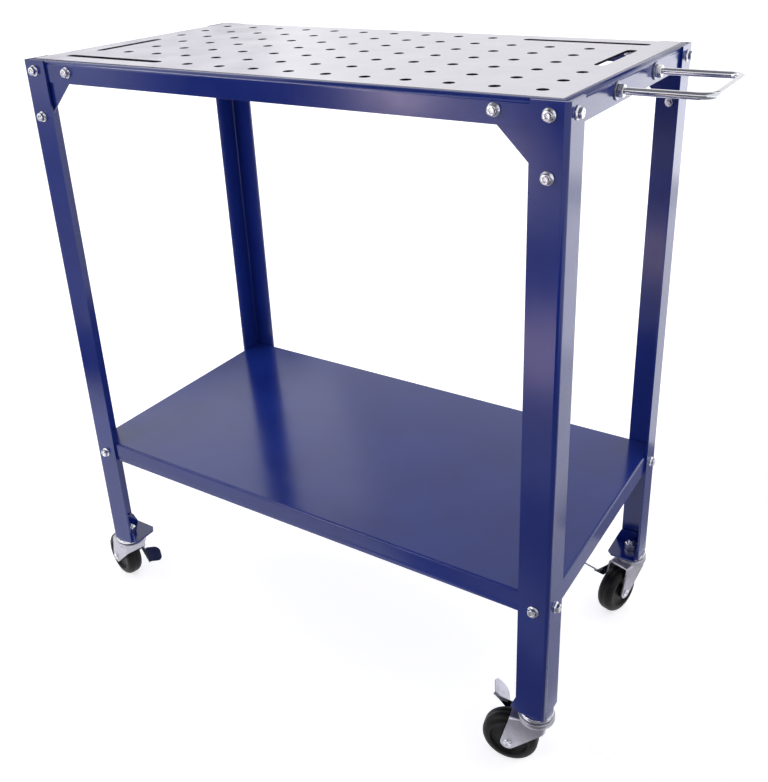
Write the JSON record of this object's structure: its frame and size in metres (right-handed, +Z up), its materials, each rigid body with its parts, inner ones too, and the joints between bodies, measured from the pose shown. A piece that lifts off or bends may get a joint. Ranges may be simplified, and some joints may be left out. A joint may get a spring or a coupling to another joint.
{
  "type": "rolling assembly table",
  "caption": "Narrow rolling assembly table: perforated steel top in a navy rail frame on angle legs, lower shelf, chrome push handle and braked swivel casters.",
  "frame": {"origin": "middle of the work surface, on the top face of the perforated sheet", "axes": "+Z up out of the work surface; +X along the length towards the handle; front at -Y"},
  "size_m": [0.9021, 0.4038, 0.845],
  "materials": {
    "top_sheet": "satin zinc-plated sheet",
    "navy_paint": "gloss navy paint",
    "zinc": "bright zinc plate",
    "chrome": "polished chrome plate",
    "wheel_black": "black moulded rubber",
    "pedal": "bright zinc plate"
  },
  "bodies": {
    "frame": {"table_top": "top_sheet", "rail_front": "navy_paint", "rail_rear": "navy_paint", "rail_left": "navy_paint", "rail_right": "navy_paint", "shelf": "navy_paint", "gusset_spacers": "zinc", "frame_bolts": "zinc", "frame_nuts": "zinc", "shelf_bolts": "zinc", "shelf_nuts": "zinc", "handle": "chrome", "handle_washers": "zinc", "handle_nuts": "zinc", "caster_stems": "zinc", "caster_stem_nuts": "zinc", "caster_upper_races": "zinc", "caster_ball_cages": "zinc", "leg_FL": "navy_paint", "gusset_FL": "navy_paint", "foot_bracket_FL": "navy_paint", "leg_FR": "navy_paint", "gusset_FR": "navy_paint", "foot_bracket_FR": "navy_paint", "leg_RL": "navy_paint", "gusset_RL": "navy_paint", "foot_bracket_RL": "navy_paint", "leg_RR": "navy_paint", "gusset_RR": "navy_paint", "foot_bracket_RR": "navy_paint"},
    "swivel_FL": {"fork_FL": "zinc", "axle_FL": "zinc", "axle_sleeve_FL": "zinc", "brake_pin_FL": "zinc"},
    "roller_FL": {"wheel_FL": "wheel_black"},
    "brake_FL": {"brake_lever_FL": "pedal"},
    "swivel_FR": {"fork_FR": "zinc", "axle_FR": "zinc", "axle_sleeve_FR": "zinc", "brake_pin_FR": "zinc"},
    "roller_FR": {"wheel_FR": "wheel_black"},
    "brake_FR": {"brake_lever_FR": "pedal"},
    "swivel_RL": {"fork_RL": "zinc", "axle_RL": "zinc", "axle_sleeve_RL": "zinc", "brake_pin_RL": "zinc"},
    "roller_RL": {"wheel_RL": "wheel_black"},
    "brake_RL": {"brake_lever_RL": "pedal"},
    "swivel_RR": {"fork_RR": "zinc", "axle_RR": "zinc", "axle_sleeve_RR": "zinc", "brake_pin_RR": "zinc"},
    "roller_RR": {"wheel_RR": "wheel_black"},
    "brake_RR": {"brake_lever_RR": "pedal"}
  },
  "joints": [
    {"name": "swivel_turn_FL", "type": "hinge", "parent": "frame", "child": "swivel_FL", "pos_m": [-0.357, -0.177, -0.7618], "axis": [0, 0, 1], "continuous": true},
    {"name": "wheel_spin_FL", "type": "hinge", "parent": "swivel_FL", "child": "roller_FL", "pos_m": [-0.3883, -0.16861, -0.809], "axis": [-0.2588, -0.9659, 0], "continuous": true},
    {"name": "brake_tip_FL", "type": "hinge", "parent": "swivel_FL", "child": "brake_FL", "pos_m": [-0.37075, -0.15106, -0.787], "axis": [0.2588, 0.9659, 0], "range_deg": [0, 155]},
    {"name": "swivel_turn_FR", "type": "hinge", "parent": "frame", "child": "swivel_FR", "pos_m": [0.357, -0.177, -0.7618], "axis": [0, 0, 1], "continuous": true},
    {"name": "wheel_spin_FR", "type": "hinge", "parent": "swivel_FR", "child": "roller_FR", "pos_m": [0.3252, -0.18318, -0.809], "axis": [0.1908, -0.9816, 0], "continuous": true},
    {"name": "brake_tip_FR", "type": "hinge", "parent": "swivel_FR", "child": "brake_FR", "pos_m": [0.33326, -0.15971, -0.787], "axis": [-0.1908, 0.9816, 0], "range_deg": [-145, 10]},
    {"name": "swivel_turn_RL", "type": "hinge", "parent": "frame", "child": "swivel_RL", "pos_m": [-0.357, 0.177, -0.7618], "axis": [0, 0, 1], "continuous": true},
    {"name": "wheel_spin_RL", "type": "hinge", "parent": "swivel_RL", "child": "roller_RL", "pos_m": [-0.38682, 0.16434, -0.809], "axis": [0.3907, -0.9205, 0], "continuous": true},
    {"name": "brake_tip_RL", "type": "hinge", "parent": "swivel_RL", "child": "brake_RL", "pos_m": [-0.38381, 0.18898, -0.787], "axis": [-0.3907, 0.9205, 0], "range_deg": [-145, 10]},
    {"name": "swivel_turn_RR", "type": "hinge", "parent": "frame", "child": "swivel_RR", "pos_m": [0.357, 0.177, -0.7618], "axis": [0, 0, 1], "continuous": true},
    {"name": "wheel_spin_RR", "type": "hinge", "parent": "swivel_RR", "child": "roller_RR", "pos_m": [0.34807, 0.14586, -0.809], "axis": [0.9613, -0.2756, 0], "continuous": true},
    {"name": "brake_tip_RR", "type": "hinge", "parent": "swivel_RR", "child": "brake_RR", "pos_m": [0.33082, 0.1637, -0.787], "axis": [-0.9613, 0.2756, 0], "range_deg": [-145, 10]}
  ]
}
